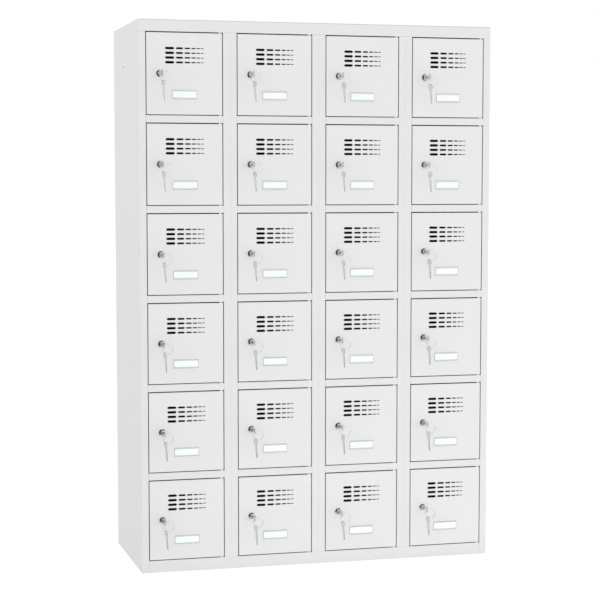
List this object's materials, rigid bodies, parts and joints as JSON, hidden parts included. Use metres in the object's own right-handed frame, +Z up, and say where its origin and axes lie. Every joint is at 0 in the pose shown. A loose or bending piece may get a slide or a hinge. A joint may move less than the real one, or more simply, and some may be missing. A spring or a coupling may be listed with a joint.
{
  "type": "luggage locker",
  "caption": "Upright steel cabinet of small square compartments in a grid, each with a flush vented door hinged on the right, a cam lock with keys and a card holder.",
  "frame": {"origin": "middle of the cabinet's footprint, on the floor", "axes": "+X to the right seen from the front, +Y from the doors to the back, +Z up"},
  "size_m": [1.2, 0.5583, 1.8],
  "materials": {
    "painted_sheet": "satin light grey powder coat",
    "chromed_lock": "polished chrome plate",
    "bright_steel": "bright zinc",
    "white_nylon": "white nylon",
    "clear_plastic": "clear card holder",
    "white_card": "blank white card"
  },
  "bodies": {
    "carcass": {"left_side_panel": "painted_sheet", "right_side_panel": "painted_sheet", "divider_panels": "painted_sheet", "front_stiles": "painted_sheet", "top_panel": "painted_sheet", "top_rail": "painted_sheet", "base_panel": "painted_sheet", "back_panel": "painted_sheet", "shelves": "painted_sheet", "cross_rails": "painted_sheet", "hinge_pins": "bright_steel", "hinge_washers": "white_nylon"},
    "door_r1c1": {"door_r1c1": "painted_sheet"},
    "lock_r1c1": {"lock_r1c1": "chromed_lock"},
    "door_r1c2": {"door_r1c2": "painted_sheet"},
    "lock_r1c2": {"lock_r1c2": "chromed_lock"},
    "door_r1c3": {"door_r1c3": "painted_sheet"},
    "lock_r1c3": {"lock_r1c3": "chromed_lock"},
    "door_r1c4": {"door_r1c4": "painted_sheet"},
    "lock_r1c4": {"lock_r1c4": "chromed_lock"},
    "door_r2c1": {"door_r2c1": "painted_sheet"},
    "lock_r2c1": {"lock_r2c1": "chromed_lock"},
    "door_r2c2": {"door_r2c2": "painted_sheet"},
    "lock_r2c2": {"lock_r2c2": "chromed_lock"},
    "door_r2c3": {"door_r2c3": "painted_sheet"},
    "lock_r2c3": {"lock_r2c3": "chromed_lock"},
    "door_r2c4": {"door_r2c4": "painted_sheet"},
    "lock_r2c4": {"lock_r2c4": "chromed_lock"},
    "door_r3c1": {"door_r3c1": "painted_sheet"},
    "lock_r3c1": {"lock_r3c1": "chromed_lock"},
    "door_r3c2": {"door_r3c2": "painted_sheet"},
    "lock_r3c2": {"lock_r3c2": "chromed_lock"},
    "door_r3c3": {"door_r3c3": "painted_sheet"},
    "lock_r3c3": {"lock_r3c3": "chromed_lock"},
    "door_r3c4": {"door_r3c4": "painted_sheet"},
    "lock_r3c4": {"lock_r3c4": "chromed_lock"},
    "door_r4c1": {"door_r4c1": "painted_sheet"},
    "lock_r4c1": {"lock_r4c1": "chromed_lock"},
    "door_r4c2": {"door_r4c2": "painted_sheet"},
    "lock_r4c2": {"lock_r4c2": "chromed_lock"},
    "door_r4c3": {"door_r4c3": "painted_sheet"},
    "lock_r4c3": {"lock_r4c3": "chromed_lock"},
    "door_r4c4": {"door_r4c4": "painted_sheet"},
    "lock_r4c4": {"lock_r4c4": "chromed_lock"},
    "door_r5c1": {"door_r5c1": "painted_sheet"},
    "lock_r5c1": {"lock_r5c1": "chromed_lock"},
    "door_r5c2": {"door_r5c2": "painted_sheet"},
    "lock_r5c2": {"lock_r5c2": "chromed_lock"},
    "door_r5c3": {"door_r5c3": "painted_sheet"},
    "lock_r5c3": {"lock_r5c3": "chromed_lock"},
    "door_r5c4": {"door_r5c4": "painted_sheet"},
    "lock_r5c4": {"lock_r5c4": "chromed_lock"},
    "door_r6c1": {"door_r6c1": "painted_sheet"},
    "lock_r6c1": {"lock_r6c1": "chromed_lock"},
    "door_r6c2": {"door_r6c2": "painted_sheet"},
    "lock_r6c2": {"lock_r6c2": "chromed_lock"},
    "door_r6c3": {"door_r6c3": "painted_sheet"},
    "lock_r6c3": {"lock_r6c3": "chromed_lock"},
    "door_r6c4": {"door_r6c4": "painted_sheet"},
    "lock_r6c4": {"lock_r6c4": "chromed_lock"}
  },
  "joints": [
    {"name": "door_hinge_r1c1", "type": "hinge", "parent": "carcass", "child": "door_r1c1", "pos_m": [-0.3325, -0.245, 1.62821], "axis": [0, 0, 1], "range_deg": [0, 110]},
    {"name": "door_hinge_r1c2", "type": "hinge", "parent": "carcass", "child": "door_r1c2", "pos_m": [-0.0325, -0.245, 1.62821], "axis": [0, 0, 1], "range_deg": [0, 110]},
    {"name": "door_hinge_r1c3", "type": "hinge", "parent": "carcass", "child": "door_r1c3", "pos_m": [0.2675, -0.245, 1.62821], "axis": [0, 0, 1], "range_deg": [0, 110]},
    {"name": "door_hinge_r1c4", "type": "hinge", "parent": "carcass", "child": "door_r1c4", "pos_m": [0.5675, -0.245, 1.62821], "axis": [0, 0, 1], "range_deg": [0, 110]},
    {"name": "door_hinge_r2c1", "type": "hinge", "parent": "carcass", "child": "door_r2c1", "pos_m": [-0.3325, -0.245, 1.33712], "axis": [0, 0, 1], "range_deg": [0, 110]},
    {"name": "door_hinge_r2c2", "type": "hinge", "parent": "carcass", "child": "door_r2c2", "pos_m": [-0.0325, -0.245, 1.33712], "axis": [0, 0, 1], "range_deg": [0, 110]},
    {"name": "door_hinge_r2c3", "type": "hinge", "parent": "carcass", "child": "door_r2c3", "pos_m": [0.2675, -0.245, 1.33712], "axis": [0, 0, 1], "range_deg": [0, 110]},
    {"name": "door_hinge_r2c4", "type": "hinge", "parent": "carcass", "child": "door_r2c4", "pos_m": [0.5675, -0.245, 1.33712], "axis": [0, 0, 1], "range_deg": [0, 110]},
    {"name": "door_hinge_r3c1", "type": "hinge", "parent": "carcass", "child": "door_r3c1", "pos_m": [-0.3325, -0.245, 1.04604], "axis": [0, 0, 1], "range_deg": [0, 110]},
    {"name": "door_hinge_r3c2", "type": "hinge", "parent": "carcass", "child": "door_r3c2", "pos_m": [-0.0325, -0.245, 1.04604], "axis": [0, 0, 1], "range_deg": [0, 110]},
    {"name": "door_hinge_r3c3", "type": "hinge", "parent": "carcass", "child": "door_r3c3", "pos_m": [0.2675, -0.245, 1.04604], "axis": [0, 0, 1], "range_deg": [0, 110]},
    {"name": "door_hinge_r3c4", "type": "hinge", "parent": "carcass", "child": "door_r3c4", "pos_m": [0.5675, -0.245, 1.04604], "axis": [0, 0, 1], "range_deg": [0, 110]},
    {"name": "door_hinge_r4c1", "type": "hinge", "parent": "carcass", "child": "door_r4c1", "pos_m": [-0.3325, -0.245, 0.75496], "axis": [0, 0, 1], "range_deg": [0, 110]},
    {"name": "door_hinge_r4c2", "type": "hinge", "parent": "carcass", "child": "door_r4c2", "pos_m": [-0.0325, -0.245, 0.75496], "axis": [0, 0, 1], "range_deg": [0, 110]},
    {"name": "door_hinge_r4c3", "type": "hinge", "parent": "carcass", "child": "door_r4c3", "pos_m": [0.2675, -0.245, 0.75496], "axis": [0, 0, 1], "range_deg": [0, 110]},
    {"name": "door_hinge_r4c4", "type": "hinge", "parent": "carcass", "child": "door_r4c4", "pos_m": [0.5675, -0.245, 0.75496], "axis": [0, 0, 1], "range_deg": [0, 110]},
    {"name": "door_hinge_r5c1", "type": "hinge", "parent": "carcass", "child": "door_r5c1", "pos_m": [-0.3325, -0.245, 0.46387], "axis": [0, 0, 1], "range_deg": [0, 110]},
    {"name": "door_hinge_r5c2", "type": "hinge", "parent": "carcass", "child": "door_r5c2", "pos_m": [-0.0325, -0.245, 0.46387], "axis": [0, 0, 1], "range_deg": [0, 110]},
    {"name": "door_hinge_r5c3", "type": "hinge", "parent": "carcass", "child": "door_r5c3", "pos_m": [0.2675, -0.245, 0.46387], "axis": [0, 0, 1], "range_deg": [0, 110]},
    {"name": "door_hinge_r5c4", "type": "hinge", "parent": "carcass", "child": "door_r5c4", "pos_m": [0.5675, -0.245, 0.46387], "axis": [0, 0, 1], "range_deg": [0, 110]},
    {"name": "door_hinge_r6c1", "type": "hinge", "parent": "carcass", "child": "door_r6c1", "pos_m": [-0.3325, -0.245, 0.17279], "axis": [0, 0, 1], "range_deg": [0, 110]},
    {"name": "door_hinge_r6c2", "type": "hinge", "parent": "carcass", "child": "door_r6c2", "pos_m": [-0.0325, -0.245, 0.17279], "axis": [0, 0, 1], "range_deg": [0, 110]},
    {"name": "door_hinge_r6c3", "type": "hinge", "parent": "carcass", "child": "door_r6c3", "pos_m": [0.2675, -0.245, 0.17279], "axis": [0, 0, 1], "range_deg": [0, 110]},
    {"name": "door_hinge_r6c4", "type": "hinge", "parent": "carcass", "child": "door_r6c4", "pos_m": [0.5675, -0.245, 0.17279], "axis": [0, 0, 1], "range_deg": [0, 110]},
    {"name": "lock_turn_r1c1", "type": "hinge", "parent": "door_r1c1", "child": "lock_r1c1", "pos_m": [-0.53075, -0.25, 1.62821], "axis": [0, -1, 0], "range_deg": [0, 90]},
    {"name": "lock_turn_r1c2", "type": "hinge", "parent": "door_r1c2", "child": "lock_r1c2", "pos_m": [-0.23075, -0.25, 1.62821], "axis": [0, -1, 0], "range_deg": [0, 90]},
    {"name": "lock_turn_r1c3", "type": "hinge", "parent": "door_r1c3", "child": "lock_r1c3", "pos_m": [0.06925, -0.25, 1.62821], "axis": [0, -1, 0], "range_deg": [0, 90]},
    {"name": "lock_turn_r1c4", "type": "hinge", "parent": "door_r1c4", "child": "lock_r1c4", "pos_m": [0.36925, -0.25, 1.62821], "axis": [0, -1, 0], "range_deg": [0, 90]},
    {"name": "lock_turn_r2c1", "type": "hinge", "parent": "door_r2c1", "child": "lock_r2c1", "pos_m": [-0.53075, -0.25, 1.33712], "axis": [0, -1, 0], "range_deg": [0, 90]},
    {"name": "lock_turn_r2c2", "type": "hinge", "parent": "door_r2c2", "child": "lock_r2c2", "pos_m": [-0.23075, -0.25, 1.33712], "axis": [0, -1, 0], "range_deg": [0, 90]},
    {"name": "lock_turn_r2c3", "type": "hinge", "parent": "door_r2c3", "child": "lock_r2c3", "pos_m": [0.06925, -0.25, 1.33712], "axis": [0, -1, 0], "range_deg": [0, 90]},
    {"name": "lock_turn_r2c4", "type": "hinge", "parent": "door_r2c4", "child": "lock_r2c4", "pos_m": [0.36925, -0.25, 1.33712], "axis": [0, -1, 0], "range_deg": [0, 90]},
    {"name": "lock_turn_r3c1", "type": "hinge", "parent": "door_r3c1", "child": "lock_r3c1", "pos_m": [-0.53075, -0.25, 1.04604], "axis": [0, -1, 0], "range_deg": [0, 90]},
    {"name": "lock_turn_r3c2", "type": "hinge", "parent": "door_r3c2", "child": "lock_r3c2", "pos_m": [-0.23075, -0.25, 1.04604], "axis": [0, -1, 0], "range_deg": [0, 90]},
    {"name": "lock_turn_r3c3", "type": "hinge", "parent": "door_r3c3", "child": "lock_r3c3", "pos_m": [0.06925, -0.25, 1.04604], "axis": [0, -1, 0], "range_deg": [0, 90]},
    {"name": "lock_turn_r3c4", "type": "hinge", "parent": "door_r3c4", "child": "lock_r3c4", "pos_m": [0.36925, -0.25, 1.04604], "axis": [0, -1, 0], "range_deg": [0, 90]},
    {"name": "lock_turn_r4c1", "type": "hinge", "parent": "door_r4c1", "child": "lock_r4c1", "pos_m": [-0.53075, -0.25, 0.75496], "axis": [0, -1, 0], "range_deg": [0, 90]},
    {"name": "lock_turn_r4c2", "type": "hinge", "parent": "door_r4c2", "child": "lock_r4c2", "pos_m": [-0.23075, -0.25, 0.75496], "axis": [0, -1, 0], "range_deg": [0, 90]},
    {"name": "lock_turn_r4c3", "type": "hinge", "parent": "door_r4c3", "child": "lock_r4c3", "pos_m": [0.06925, -0.25, 0.75496], "axis": [0, -1, 0], "range_deg": [0, 90]},
    {"name": "lock_turn_r4c4", "type": "hinge", "parent": "door_r4c4", "child": "lock_r4c4", "pos_m": [0.36925, -0.25, 0.75496], "axis": [0, -1, 0], "range_deg": [0, 90]},
    {"name": "lock_turn_r5c1", "type": "hinge", "parent": "door_r5c1", "child": "lock_r5c1", "pos_m": [-0.53075, -0.25, 0.46387], "axis": [0, -1, 0], "range_deg": [0, 90]},
    {"name": "lock_turn_r5c2", "type": "hinge", "parent": "door_r5c2", "child": "lock_r5c2", "pos_m": [-0.23075, -0.25, 0.46387], "axis": [0, -1, 0], "range_deg": [0, 90]},
    {"name": "lock_turn_r5c3", "type": "hinge", "parent": "door_r5c3", "child": "lock_r5c3", "pos_m": [0.06925, -0.25, 0.46387], "axis": [0, -1, 0], "range_deg": [0, 90]},
    {"name": "lock_turn_r5c4", "type": "hinge", "parent": "door_r5c4", "child": "lock_r5c4", "pos_m": [0.36925, -0.25, 0.46387], "axis": [0, -1, 0], "range_deg": [0, 90]},
    {"name": "lock_turn_r6c1", "type": "hinge", "parent": "door_r6c1", "child": "lock_r6c1", "pos_m": [-0.53075, -0.25, 0.17279], "axis": [0, -1, 0], "range_deg": [0, 90]},
    {"name": "lock_turn_r6c2", "type": "hinge", "parent": "door_r6c2", "child": "lock_r6c2", "pos_m": [-0.23075, -0.25, 0.17279], "axis": [0, -1, 0], "range_deg": [0, 90]},
    {"name": "lock_turn_r6c3", "type": "hinge", "parent": "door_r6c3", "child": "lock_r6c3", "pos_m": [0.06925, -0.25, 0.17279], "axis": [0, -1, 0], "range_deg": [0, 90]},
    {"name": "lock_turn_r6c4", "type": "hinge", "parent": "door_r6c4", "child": "lock_r6c4", "pos_m": [0.36925, -0.25, 0.17279], "axis": [0, -1, 0], "range_deg": [0, 90]}
  ]
}
